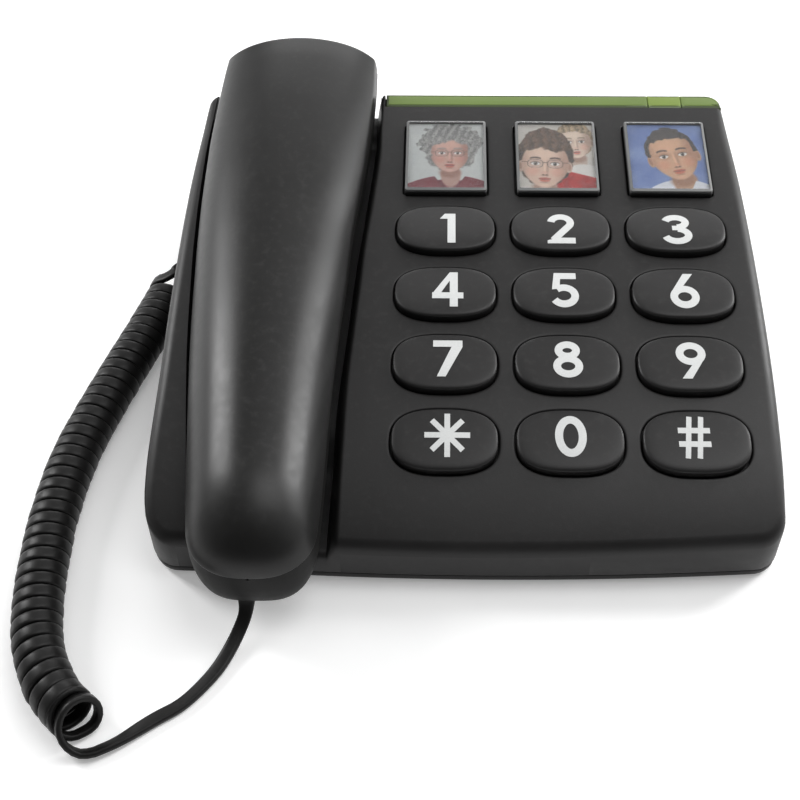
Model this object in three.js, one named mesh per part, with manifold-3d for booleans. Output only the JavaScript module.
// Corded desk telephone: keypad base with picture keys, handset on its cradle,
// curly handset cord. Millimetres, +Z up, the front of the phone faces -Y.
import * as THREE from 'three';
import { mergeVertices } from 'three/addons/utils/BufferGeometryUtils.js';
import Module from 'manifold-3d';

const wasm = await Module();
wasm.setup();

// ---------------------------------------------------------------- dimensions
const WALL = 2.5;            // housing wall
const GAP = 0.3;             // clearance between neighbouring pieces
const SEAM_Z = 3.8;          // height of the seam between the two base housings
const BASE_Z0 = 1.0;         // underside of the bottom housing, feet stand proud
const DECK_FRONT_Z = 20;     // deck height at its front edge
const DECK_SLOPE_FRONT = 25 * Math.PI / 180;
const DECK_SLOPE_BACK = 3.3 * Math.PI / 180;
const DECK_TAU = 52;         // how fast the deck flattens towards the back
const DECK_BACK_Y = 174;
const FRONT_BOW = 5.3;       // how far the front edge bulges forward
const KEY_X0 = 32, KEY_PITCH_X = 38.5, KEY_PITCH_S = 27.11, KEY_S0 = 27.81;
const KEY_W = 32.8, KEY_D = 21.2, KEY_RISE = 3.0, KEY_TRAVEL = 2.0;
const KEY_FRONT = 3.35, KEY_BACK = 0.8;        // the top slopes from a raised front edge to nearly flush at the back
const KEY_HOLE_MARGIN = 0.6;
const PIC_S = 142.7, PIC_W = 28.1, PIC_D = 34.3, PIC_RISE = 2.6;
const COIL_R = 7.6, CORD_R = 1.8;
const PLUG_Y = 126.5, PLUG_Z = 9.6;

// ------------------------------------------------------------------- helpers
function solid(geom) {
  let g = geom.clone();
  g.deleteAttribute('normal'); g.deleteAttribute('uv');
  g = mergeVertices(g, 1e-4);
  return new wasm.Manifold(new wasm.Mesh({
    numProp: 3,
    vertProperties: new Float32Array(g.attributes.position.array),
    triVerts: new Uint32Array(g.index.array) }));
}
function geometry(m) {
  const mesh = m.getMesh();
  const g = new THREE.BufferGeometry();
  g.setAttribute('position', new THREE.BufferAttribute(new Float32Array(mesh.vertProperties), 3));
  g.setIndex(new THREE.BufferAttribute(new Uint32Array(mesh.triVerts), 1));
  g.computeVertexNormals();
  return g;
}
const shapeOf = pts => { const s = new THREE.Shape(); pts.forEach((p, i) => i ? s.lineTo(p[0], p[1]) : s.moveTo(p[0], p[1])); s.closePath(); return s; };
function prismZ(pts, z0, z1) {
  const g = new THREE.ExtrudeGeometry(shapeOf(pts), { depth: z1 - z0, bevelEnabled: false });
  g.translate(0, 0, z0);
  return solid(g);
}
// outline given as [y, z], swept along X
function prismX(pts, x0, x1) {
  const g = new THREE.ExtrudeGeometry(shapeOf(pts), { depth: x1 - x0, bevelEnabled: false });
  g.applyMatrix4(new THREE.Matrix4().set(0, 0, 1, x0, 1, 0, 0, 0, 0, 1, 0, 0, 0, 0, 0, 1));
  return solid(g);
}
function box(x0, x1, y0, y1, z0, z1) {
  const g = new THREE.BoxGeometry(x1 - x0, y1 - y0, z1 - z0);
  g.translate((x0 + x1) / 2, (y0 + y1) / 2, (z0 + z1) / 2);
  return solid(g);
}
function disc(r, x, y, z0, z1, n = 20) {
  const g = new THREE.CylinderGeometry(r, r, z1 - z0, n);
  g.rotateX(Math.PI / 2); g.translate(x, y, (z0 + z1) / 2);
  return solid(g);
}
// closed solid through a list of rings, each a list of [x, y, z] of equal length
function loft(rings) {
  const n = rings[0].length, pos = [], idx = [];
  rings.forEach(r => r.forEach(p => pos.push(p[0], p[1], p[2])));
  for (let i = 0; i + 1 < rings.length; i++) for (let j = 0; j < n; j++) {
    const a = i * n + j, b = i * n + (j + 1) % n, c = a + n, d = b + n;
    idx.push(a, b, d, a, d, c);
  }
  const cap = (k, flip) => {
    const c = [0, 0, 0]; rings[k].forEach(p => { c[0] += p[0] / n; c[1] += p[1] / n; c[2] += p[2] / n; });
    const ci = pos.length / 3; pos.push(...c);
    for (let j = 0; j < n; j++) { const a = k * n + j, b = k * n + (j + 1) % n; flip ? idx.push(ci, b, a) : idx.push(ci, a, b); }
  };
  cap(0, true); cap(rings.length - 1, false);
  const g = new THREE.BufferGeometry();
  g.setAttribute('position', new THREE.BufferAttribute(new Float32Array(pos), 3));
  g.setIndex(idx);
  return solid(g);
}
const lerpTable = (t, x) => {
  if (x <= t[0][0]) return t[0][1];
  for (let i = 1; i < t.length; i++) if (x <= t[i][0]) {
    const [a, b] = [t[i - 1], t[i]];
    return b[1] * (x - a[0]) / (b[0] - a[0]) + a[1] * (b[0] - x) / (b[0] - a[0]);
  }
  return t[t.length - 1][1];
};
// smooth version of the table lookup (monotone cubic)
function smoothTable(t, x) {
  const n = t.length, h = [], d = [], m = [];
  for (let i = 0; i + 1 < n; i++) { h.push(t[i + 1][0] - t[i][0]); d.push((t[i + 1][1] - t[i][1]) / h[i]); }
  for (let i = 0; i < n; i++) {
    if (i === 0) m.push(d[0]); else if (i === n - 1) m.push(d[n - 2]);
    else if (d[i - 1] * d[i] <= 0) m.push(0);
    else { const w1 = 2 * h[i] + h[i - 1], w2 = h[i] + 2 * h[i - 1]; m.push((w1 + w2) / (w1 / d[i - 1] + w2 / d[i])); }
  }
  if (x <= t[0][0]) return t[0][1];
  if (x >= t[n - 1][0]) return t[n - 1][1];
  let i = 0; while (x > t[i + 1][0]) i++;
  const u = (x - t[i][0]) / h[i];
  return (2 * u ** 3 - 3 * u * u + 1) * t[i][1] + (u ** 3 - 2 * u * u + u) * h[i] * m[i]
    + (-2 * u ** 3 + 3 * u * u) * t[i + 1][1] + (u ** 3 - u * u) * h[i] * m[i + 1];
}

// --------------------------------------------------------- deck side profile
const slope = s => DECK_SLOPE_BACK + (DECK_SLOPE_FRONT - DECK_SLOPE_BACK) * Math.exp(-Math.max(s, -20) / DECK_TAU);
function deckAt(s) {
  const n = 48, h = s / n; let y = 0, z = 0;
  for (let i = 0; i <= n; i++) {
    const w = (i === 0 || i === n) ? 1 : (i % 2 ? 4 : 2);
    y += w * Math.cos(slope(i * h)); z += w * Math.sin(slope(i * h));
  }
  return [y * h / 3, DECK_FRONT_Z + z * h / 3];
}
const deckLine = [];
for (const s of [-7, 0, 10, 20, 30, 40, 52, 66, 82, 100, 125, 150, 175, 184]) deckLine.push(deckAt(s));
const deckZ = y => lerpTable(deckLine, y);
const offsetLine = (d, y0, y1) => deckLine.map(([y, z], i) => {
  const a = deckLine[Math.max(i - 1, 0)], b = deckLine[Math.min(i + 1, deckLine.length - 1)];
  const t = Math.atan2(b[1] - a[1], b[0] - a[0]);
  return [y + d * Math.sin(t), z - d * Math.cos(t)];
}).filter(p => p[0] > y0 && p[0] < y1);

// --------------------------------------------------------- base plan outline
function baseOutline(inset) {
    const pts = [];
  const R = 13, RB = 6;
  const W0 = 96.2;
  // front edge, bowed
  const fx = W0 - R;
  for (let i = -6; i <= 6; i++) { const x = fx * i / 6; pts.push([x, -0.7 - FRONT_BOW * (1 - (x / 95) ** 2)]); }
  const fy = pts[pts.length - 1][1];
  for (let i = 1; i <= 4; i++) { const a = Math.PI / 2 * i / 4; pts.push([fx + R * Math.sin(a), fy + R * (1 - Math.cos(a))]); }
  const side = [[24, 96.9], [45, 97.0], [85, 96.6], [125, 95.7], [150, 94.4], [174 - RB, 92.9]];
  side.forEach(([y, w]) => pts.push([w, y]));
  for (let i = 1; i <= 4; i++) { const a = Math.PI / 2 * i / 4; pts.push([92.9 - RB * (1 - Math.cos(a)), 174 - RB + RB * Math.sin(a)]); }
  // the left side mirrors the right
  const right = pts.filter(p => p[0] > 1e-6), left = right.map(p => [-p[0], p[1]]).reverse();
  const mid = pts.filter(p => Math.abs(p[0]) <= 1e-6);
  let all = [...mid, ...right, ...left];
  if (inset) {
    const n = all.length;
    all = all.map((p, i) => {
      const a = all[(i + n - 1) % n], b = all[(i + 1) % n];
      const tx = b[0] - a[0], ty = b[1] - a[1], l = Math.hypot(tx, ty);
      return [p[0] - ty / l * inset, p[1] + tx / l * inset];
    });
  }
  return all;
}

// ------------------------------------------------------------- handset shape
const HS_Y0 = -25.4, HS_Y1 = 189;
const hsLeft = [[-26, -79.6], [-15, -80.5], [0, -82.3], [20, -84.1], [40, -85.9], [60, -87.5], [80, -88.6], [100, -89.5], [120, -89.9], [140, -89.8], [160, -89.0], [175, -88.2], [188, -87.2]];
const hsRight = [[-26, -43.6], [-15, -42.9], [0, -42.2], [20, -41.7], [40, -41.0], [60, -39.9], [80, -38.5], [100, -37.4], [120, -35.4], [140, -33.6], [160, -32.4], [175, -31.9], [188, -32.0]];
const partZ = y => 33 + 17 * (y + 22) / 207;
const hsTop = [[-28, 16], [0, 17], [30, 17.6], [70, 18], [110, 17.8], [150, 16.8], [175, 15.2], [189, 13.6]];
const hsBottom = [[-26, 19.6], [10, 20.6], [22, 19.5], [34, 9.0], [46, 4.2], [60, 3.6], [106, 3.6], [117, 6.0], [127, 10.6], [136, 12.0], [157, 12.6], [163, 11.4], [168, 8.4], [188, 7.4]];
const endCap = (d, l, n) => { const q = Math.min(Math.max(1 - d / l, 0), 1); return Math.pow(Math.max(1 - Math.pow(q, n), 0), 1 / n); };
function handsetLoft(inset, ys, N = 20) {
  const y0 = HS_Y0 + inset, y1 = HS_Y1 - inset;
  return loft(ys.map(t => {
    const y = y0 + (y1 - y0) * t;
    const e = Math.max(endCap(y - y0, 16, 2.4) * endCap(y1 - y, 4, 2.2), 0.12);
    const et = Math.max(endCap(y - y0, 27, 2.1) * endCap(y1 - y, 3.5, 2.2), 0.12), eb = Math.max(endCap(y - y0, 9, 2.3) * endCap(y1 - y, 5, 2.0), 0.12);
    const xl = smoothTable(hsLeft, y), xr = smoothTable(hsRight, y), cx = (xl + xr) / 2, w = ((xr - xl) / 2 - inset) * e;
    const zt = (smoothTable(hsTop, y) - inset) * et, zb = (smoothTable(hsBottom, y) - inset) * eb, zp = partZ(y);
    const a0 = (12 + 10 * Math.min(Math.max((y - 60) / 120, 0), 1)) * Math.PI / 180;   // the arch meets the side walls at a soft corner
    const e0 = 0.24 * zt * Math.min(Math.max((y - 70) / 110, 0), 1);   // height of the side wall above the parting line
    const ring = [];
    for (let j = 0; j < N; j++) {
      const a = -2 * Math.PI * j / N, c = Math.cos(a), s = Math.sin(a);
      if (s > 1e-9) {                    // upper half: part of an ellipse
        const b = a0 + (Math.PI - 2 * a0) * (a + 2 * Math.PI) / Math.PI;
        ring.push([cx + w * Math.cos(b) / Math.cos(a0), y, zp + e0 * Math.min(1, (a + 2 * Math.PI) / 0.2, (-a - Math.PI) / 0.2) + (zt - e0) * (Math.sin(b) - Math.sin(a0)) / (1 - Math.sin(a0))]);
      } else ring.push([cx + w * Math.sign(c) * Math.abs(c) ** (2 / 3.4), y, zp - zb * Math.abs(s) ** (2 / 3.4)]);
    }
    return ring;
  }));
}
const hsStations = [0, .004, .012, .025, .045, .07, .11, .16, .2, .235, .27, .3, .35, .42, .5, .58, .65, .69, .73, .77, .82, .87, .91, .94, .965, .982, .991, .9965, 1];
const innerStations = [0, .01, .035, .08, .14, .19, .24, .28, .34, .45, .56, .65, .71, .77, .84, .9, .95, .985, 1];
const partPlane = (up, gap) => {      // half space above or below the parting plane
  const pts = up
    ? [[-60, partZ(-60) + gap], [240, partZ(240) + gap], [240, 160], [-60, 160]]
    : [[-60, -40], [240, -40], [240, partZ(240) - gap], [-60, partZ(-60) - gap]];
  return prismX(pts, -140, 20);
};

// ------------------------------------------------------------------ assembly
const model = new THREE.Group();
const mat = (color, roughness, metalness = 0) => new THREE.MeshStandardMaterial({ color, roughness, metalness });
const CHARCOAL = mat(0x3a3a3c, 0.5), KEYBLACK = mat(0x343436, 0.55), GREEN = mat(0x6fae2f, 0.35), LENS = mat(0xb4e85a, 0.2);
const RUBBER = mat(0x222222, 0.9), BOARD = mat(0x1f6b3a, 0.6), STEEL = mat(0xb9bcc0, 0.35, 1), CLEAR = mat(0xe8eef2, 0.1), CARD = mat(0xd8d8d4, 0.7);
const GREY = mat(0x6a6a6c, 0.6), BLACK = mat(0x1c1c1e, 0.6), GOLD = mat(0xc9a24a, 0.3, 1), CORD = mat(0x2a2a2c, 0.6);
function add(name, m, material, parent = model) {
  const mesh = new THREE.Mesh(m.isBufferGeometry ? m : geometry(m), material);
  mesh.name = name; parent.add(mesh); return mesh;
}

// base top housing: walls and deck with an open underside
const keyCentres = [];
const keyNames = [['key_star', 'key_0', 'key_hash'], ['key_7', 'key_8', 'key_9'], ['key_4', 'key_5', 'key_6'], ['key_1', 'key_2', 'key_3']];
for (let r = 0; r < 4; r++) for (let c = 0; c < 3; c++) keyCentres.push({ name: keyNames[r][c], x: KEY_X0 + (c - 1) * KEY_PITCH_X, s: KEY_S0 + r * KEY_PITCH_S });
function oval(w, d, n, N) {
  const pts = [];
  for (let j = 0; j < N; j++) { const a = 2 * Math.PI * j / N, c = Math.cos(a), s = Math.sin(a); pts.push([w / 2 * Math.sign(c) * Math.abs(c) ** (2 / n), d / 2 * Math.sign(s) * Math.abs(s) ** (2 / n)]); }
  return pts;
}
const place = (x, s) => { const [y, z] = deckAt(s); return new THREE.Matrix4().makeRotationX(slope(s)).setPosition(x, y, z); };
const placed = (m, M) => m.transform(M.elements);

const outerProfile = [[-12, SEAM_Z], [-12, deckZ(-5)], ...deckLine.filter(p => p[0] > -6), [180, SEAM_Z]];
const innerProfile = [[-12, SEAM_Z - 3], [-12, deckAt(-7)[1] - 3], ...deckLine.filter(p => p[0] > -6).map(p => [p[0], p[1] - 2.75]), [180, SEAM_Z - 3]];
// cradle trough that the handset lies in, with a deeper well at each end
const troughFloor = [[-30, 12.6], [24, 12.6], [31, 16.5], [38, 20.5], [60, 24.5], [84, 27.8], [108, 30.2], [118, 31.6], [126, 33.2], [161, 33.6], [166.5, 38.6], [190, 38.6]];
const trough = (grow) => prismX([...troughFloor.map(([y, z]) => [y, z - grow]), [190, 90], [-30, 90]], -93.6 - grow, -29.6 + grow)
  .intersect(prismZ(plan(grow), 0, 100));
function plan(grow) {           // the trough follows the handset's plan outline
  const L = [[-30, -82.4], [0, -84.6], [40, -88.2], [80, -91.0], [120, -92.3], [150, -92.0], [165, -91.3]];
  const R = [[-30, -39.6], [0, -39.8], [40, -39.0], [80, -36.6], [100, -35.3], [120, -33.4], [140, -31.9], [160, -30.9], [190, -30.5]];
  return [...R.map(([y, x]) => [x + grow, y]), ...[[190, -90]].map(([y, x]) => [x - grow, y]), ...L.slice().reverse().map(([y, x]) => [x - grow, y])];
}
let housing = prismZ(baseOutline(0), SEAM_Z + GAP / 2, 90).intersect(prismX(outerProfile, -120, 120));
housing = housing.subtract(trough(0));
let cavity = prismZ(baseOutline(WALL), SEAM_Z - 2, 90).intersect(prismX(innerProfile, -120, 120));
cavity = cavity.subtract(trough(WALL));
housing = housing.subtract(cavity);
for (const k of keyCentres) housing = housing.subtract(placed(prismZ(oval(KEY_W + 2 * KEY_HOLE_MARGIN, KEY_D + 2 * KEY_HOLE_MARGIN, 2.65, 24), -6, 8), place(k.x, k.s)));
for (let c = 0; c < 3; c++) housing = housing.subtract(placed(prismZ([[-PIC_W / 2 - .5, -PIC_D / 2 - .5], [PIC_W / 2 + .5, -PIC_D / 2 - .5], [PIC_W / 2 + .5, PIC_D / 2 + .5], [-PIC_W / 2 - .5, PIC_D / 2 + .5]], -6, 8), place(KEY_X0 + (c - 1) * KEY_PITCH_X, PIC_S)));
// rebate for the trim strip along the back edge
const STRIP_X0 = -28.4, STRIP_X1 = 89.4;
housing = housing.subtract(box(STRIP_X0 - GAP, STRIP_X1 + GAP, 166.6 - GAP, 190, 41.6 - GAP, 60));
housing = housing.add(box(STRIP_X0 - 4, STRIP_X1 + 4, 162.6, 172.6 - 8.6 + 0.1, 40, 45.6).intersect(prismX(outerProfile, -120, 120)));
// openings in the back wall: line jack and volume slider slot; left wall: handset jack; right of cradle: plunger
housing = housing.subtract(box(43.7, 56.3, 168, 180, 8.7, 20.3));
housing = housing.subtract(box(9.6, 26.4, 168, 180, 11.4, 15.6));
housing = housing.subtract(box(-100, -90, PLUG_Y - 5.3, PLUG_Y + 5.3, 4.7, 14.5));
housing = housing.subtract(box(-66.3, -57.7, 143.7, 152.3, 25, 40));
add('base_top_housing', housing, CHARCOAL);

// base bottom housing: tray with a low rim inside the walls
let bottom = prismZ(baseOutline(0.25), BASE_Z0, SEAM_Z - GAP / 2);
bottom = bottom.add(prismZ(baseOutline(WALL + 0.35), SEAM_Z - 1, SEAM_Z + 1.6));
bottom = bottom.subtract(prismZ(baseOutline(WALL + 2.0), 3.2, SEAM_Z + 5));
const FEET = [[-78, 16], [78, 16], [-78, 158], [78, 158]];
const SCREWS = [[-58, 6.5], [62, 6.5], [-26, 160.5], [80, 143]];
for (const [x, y] of FEET) bottom = bottom.subtract(disc(6.4, x, y, 0, 2.0, 16));
for (const [x, y] of SCREWS) bottom = bottom.subtract(disc(1.9, x, y, 0, 6, 12)).subtract(disc(3.4, x, y, 0, 2.0, 12));
bottom = bottom.subtract(box(-100, -90, PLUG_Y - 5.3, PLUG_Y + 5.3, 4.7, 14.5));
add('base_bottom_housing', bottom, CHARCOAL);
FEET.forEach(([x, y], i) => add(`rubber_foot_${i + 1}`, disc(6.0, x, y, 0, 1.7, 16), RUBBER));
SCREWS.forEach(([x, y], i) => add(`base_screw_${i + 1}`, disc(3.0, x, y, 1.05, 1.85, 12).add(disc(1.5, x, y, 1.7, 9.4, 12)), STEEL));

// keys
function keyCap() {
  const N = 24;
  const slope = (y, z) => z > 0 ? z / KEY_RISE * ((KEY_FRONT + KEY_BACK) / 2 - (KEY_FRONT - KEY_BACK) * y / KEY_D) : z;
  const ring = (w, d, z, n = 2.65) => oval(w, d, n, N).map(p => [p[0], p[1], slope(p[1], z)]);
  return loft([
    ring(KEY_W + 2.4, KEY_D + 2.0, -4.9), ring(KEY_W + 2.4, KEY_D + 2.0, -3.5), ring(KEY_W, KEY_D, -3.4),
    ring(KEY_W, KEY_D, 0.9), ring(KEY_W - 2.0, KEY_D - 2.0, 2.3), ring(KEY_W - 6.2, KEY_D - 5.6, KEY_RISE, 2.55), ring(KEY_W * .45, KEY_D * .4, KEY_RISE + .25, 2.5)]);
}
// the pressed stem reaches down to the rubber mat
for (const k of keyCentres) {
  const mesh = add(k.name, keyCap(), KEYBLACK);
  mesh.applyMatrix4(place(k.x, k.s));
}
// picture keys: a tray, a printed card and a clear snap-on cover
for (let c = 0; c < 3; c++) {
  const x = KEY_X0 + (c - 1) * KEY_PITCH_X, n = c + 1, M = place(x, PIC_S), w = PIC_W / 2, d = PIC_D / 2;
  let tray = box(-w, w, -d, d, -3.4, 0.9).add(box(-w - 1.2, w + 1.2, -d - 1.2, d + 1.2, -4.8, -3.4));
  tray = tray.subtract(box(-w + .9, w - .9, -d + .9, d - .9, 0.0, 3));
  add(`picture_key_${n}`, tray, KEYBLACK).applyMatrix4(M);
  add(`picture_card_${n}`, box(-w + 1.2, w - 1.2, -d + 1.2, d - 1.2, 0.3, 0.6), CARD).applyMatrix4(M);
  const top = [[w - .05, d - .05, 1.2], [w - .05, d - .05, 1.9], [w - .8, d - .8, PIC_RISE]];
  const cover = loft(top.map(([a, b, z]) => [[-a, -b, z], [a, -b, z], [a, b, z], [-a, b, z]]))
    .add(box(-w + 1.3, w - 1.3, -d + 1.3, d - 1.3, 0.9, 1.4));
  add(`picture_cover_${n}`, cover, CLEAR).applyMatrix4(M);
}
// rubber mat under the keys, bent like the deck, with one dome per key, and the flat keypad board below it
const matTop = [], matLow = [];
for (const s of [12, 28, 44, 60, 78, 96, 118]) { const [y, z] = deckAt(s), t = slope(s); matTop.push([y + 8.2 * Math.sin(t), z - 8.2 * Math.cos(t)]); matLow.push([y + 9.2 * Math.sin(t), z - 9.2 * Math.cos(t)]); }
add('keypad_rubber_mat', prismX([...matLow, ...matTop.reverse()], KEY_X0 - 54, KEY_X0 + 54), RUBBER);
add('keypad_board', prismX([[14, 12.4], [122, 30.4], [122, 32.0], [14, 14.0]], KEY_X0 - 54, KEY_X0 + 52), BOARD);

// trim strip and ring indicator along the deck's back edge
const stripProfile = [[166.6, 41.6], [171.4, 41.6], [174, 41.6], [174, 47.2], [172.8, 48.55], [166.6, 48.25]];
let strip = prismX(stripProfile, STRIP_X0, STRIP_X1);
strip = strip.subtract(box(66.2, 78.8, 165, 176, 43.9, 60)).intersect(prismZ(baseOutline(0), 30, 60));
add('green_trim_strip', strip, GREEN);
add('ring_indicator_lens', prismX([[166.9, 44.2], [173.7, 44.2], [173.7, 47.2], [172.6, 48.4], [166.9, 48.1]], 66.5, 78.5), LENS);
add('ring_indicator_led', disc(2.4, 72.5, 157, 33.0, 38.4, 12), LENS);

// main circuit board, steel weight, ringer sounder
add('main_board', box(-24, 66, 118, 164, 5.4, 7.0), BOARD);
add('base_weight', box(-24, 84, 26, 96, 3.6, 7.6), STEEL);
add('ringer_sounder', disc(14, -8, 138, 7.3, 13.3, 24), BLACK);
// line jack in the back wall: a block with its socket facing backwards
let jack = box(44, 56, 158, 173.8, 9, 20).subtract(box(45.4, 54.6, 161.5, 176, 10.4, 18.0)).subtract(box(48.4, 51.6, 161.5, 176, 17.5, 19.2));
add('line_jack', jack, GREY);
// handset jack in the left wall, socket facing left
let hjack = box(-95.4, -77, PLUG_Y - 5, PLUG_Y + 5, 5, 14.2).subtract(box(-98, -81.5, PLUG_Y - 4.2, PLUG_Y + 4.2, PLUG_Z - 3.3, PLUG_Z + 3.3));
add('base_handset_jack', hjack, GREY);
// ringer volume slider, in a slot in the back wall
let slider = box(14.2, 17.2, 170.2, 175.2, 11.8, 15.2).add(box(12.4, 19.0, 168.6, 170.6, 10.4, 16.6));
add('ringer_volume_slider', slider, GREY);
add('volume_switch_body', box(9, 27, 160, 168.2, 9, 18), BLACK);

// hook plunger, hook switch and its return spring
let plunger = box(-66, -58, 144, 152, 26, 34.1).add(box(-64, -60, 146, 150, 18.5, 30)).add(box(-67.5, -56.5, 142.5, 153.5, 24.6, 26.4));
add('hook_plunger', plunger, GREY);
add('hook_switch', box(-67, -55, 142, 154, 7.3, 17.6), BLACK);
const spring = new THREE.LatheGeometry([[2.9, 18.2], [3.9, 18.2], [3.9, 24.2], [2.9, 24.2], [2.9, 18.2]].map(p => new THREE.Vector2(...p)), 16);
spring.rotateX(Math.PI / 2); spring.translate(-62, 148, 0);
add('hook_spring', solid(spring), STEEL);

// handset
const hsOuter = handsetLoft(0, hsStations), hsInner = handsetLoft(2.3, innerStations, 16);
let back = hsOuter.intersect(partPlane(true, GAP / 2)).subtract(hsInner);
let face = hsOuter.intersect(partPlane(false, GAP / 2)).subtract(hsInner);
const JX = -64.8, JY = -17.4;                       // handset jack, in the underside of the mouth end
face = face.subtract(box(JX - 4.9, JX + 4.9, JY - 4.3, JY + 4.3, 8, 27.3));
for (const [x, y] of [[-62, 146], [-62, 152], [-62, 140], [-68, 146], [-56, 146], [-66.2, 150.2], [-57.8, 150.2], [-66.2, 141.8], [-57.8, 141.8]]) face = face.subtract(disc(1.2, x, y, 30, 42, 8));
for (const [x, y] of [[-63, 4], [-58, 8], [-68, 8]]) face = face.subtract(disc(1.0, x, y, 10, 20, 8));
for (const [x, y] of [[-63, 112]]) face = face.subtract(disc(1.9, x, y, 30, 46, 12));
add('handset_back_shell', back, CHARCOAL);
add('handset_face_shell', face, CHARCOAL);
add('receiver_capsule', disc(13.5, -61.6, 146, 39.4, 47.4, 24), BLACK);
add('microphone_capsule', disc(4.8, -63, 12, 19.2, 24.4, 16), BLACK);
add('handset_weight', box(-71, -55, 74, 104, 44.2, 50.6), STEEL);
add('handset_screw', disc(1.5, -63, 112, 39.6, 52.0, 12), STEEL);
let hj = box(JX - 4.6, JX + 4.6, JY - 4.0, JY + 4.0, 15.6, 27.0).subtract(box(JX - 3.95, JX + 3.95, JY - 3.45, JY + 3.45, 10, 24.6));
add('handset_jack', hj, GREY);

// plugs: clear four-way bodies with a locking tab
{
  const g = geometry(box(JX - 3.6, JX + 3.6, JY - 3.0, JY + 3.0, 14.2, 24.2));
  add('handset_end_plug', g, CLEAR);
  const b = geometry(box(-96.8, -82.2, PLUG_Y - 3.8, PLUG_Y + 3.8, PLUG_Z - 2.7, PLUG_Z + 2.7));
  add('base_end_plug', b, CLEAR);
}

// free cord: a straight tail from the handset, the curly part lying on the table, a short tail into the base
class Route extends THREE.Curve {
  constructor(pts) { super(); this.c = new THREE.CatmullRomCurve3(pts.map(p => new THREE.Vector3(...p)), false, 'centripetal'); }
  getPoint(t, o = new THREE.Vector3()) { return this.c.getPoint(t, o); }
}
function tube(pts, r, sides, steps) {
  const sh = new THREE.Shape();
  for (let i = 0; i < sides; i++) { const a = 2 * Math.PI * i / sides; i ? sh.lineTo(r * Math.cos(a), r * Math.sin(a)) : sh.moveTo(r * Math.cos(a), r * Math.sin(a)); }
  sh.closePath();
  return solid(new THREE.ExtrudeGeometry(sh, { steps, bevelEnabled: false, extrudePath: new Route(pts) }));
}
const tailPts = [[JX, JY, 13.8], [JX, JY - .05, 11.4], [JX - .3, JY - 1.2, 8.6], [JX - 1.0, JY - 4.6, 5.4], [-67.4, -27.2, 2.7], [-70.2, -33.0, 1.9], [-74.6, -39.6, 1.9], [-80.0, -45.6, 1.9], [-86.6, -51.3, 1.9], [-93.2, -56.9, 2.0], [-99.6, -61.8, 2.4], [-105.4, -65.2, 3.4]];
add('cord_straight', tube(tailPts, CORD_R, 8, 34), CORD);
const coilPts = [[-107.4, -63.0, 7.7], [-110.8, -57.6, 7.7], [-115.6, -53.0, 7.7], [-119.6, -47.0, 7.7], [-123.2, -39.0, 7.7], [-125.8, -30.0, 7.7], [-127.6, -18.5, 7.7], [-128.4, -6.0, 7.7], [-128.6, 7.5, 7.7], [-128.0, 20.0, 7.7], [-126.5, 33.2, 7.7], [-124.0, 45.4, 7.7], [-120.8, 57.0, 7.7], [-116.6, 71.6, 7.7], [-112.1, 86.0, 7.7], [-108.5, 98.0, 7.7], [-105.6, 109.0, 7.7], [-104.7, 113.2, 7.7]];
add('cord_coil', tube(coilPts, COIL_R, 12, 36), CORD);
const stubPts = [[-104.7, 115.6, 9.6], [-104.5, 118.6, 9.6], [-103.6, 122.0, 9.6], [-101.6, 124.9, 9.6], [-99.2, 126.3, 9.6], [-97.2, 126.5, 9.6]];
add('cord_base_tail', tube(stubPts, CORD_R, 8, 14), CORD);

// origin: middle of the footprint of the phone without its free cord, on the table
const FREE_CORD = new Set(['cord_straight', 'cord_coil', 'cord_base_tail', 'base_end_plug', 'handset_end_plug']);
const bounds = new THREE.Box3();
model.updateMatrixWorld(true);
model.traverse(o => { if (o.isMesh && !FREE_CORD.has(o.name)) bounds.expandByObject(o, true); });
const centre = bounds.getCenter(new THREE.Vector3());
model.position.set(-centre.x, -centre.y, -bounds.min.z);
const group = new THREE.Group();
group.add(model);
group.updateMatrixWorld(true);
export default group;
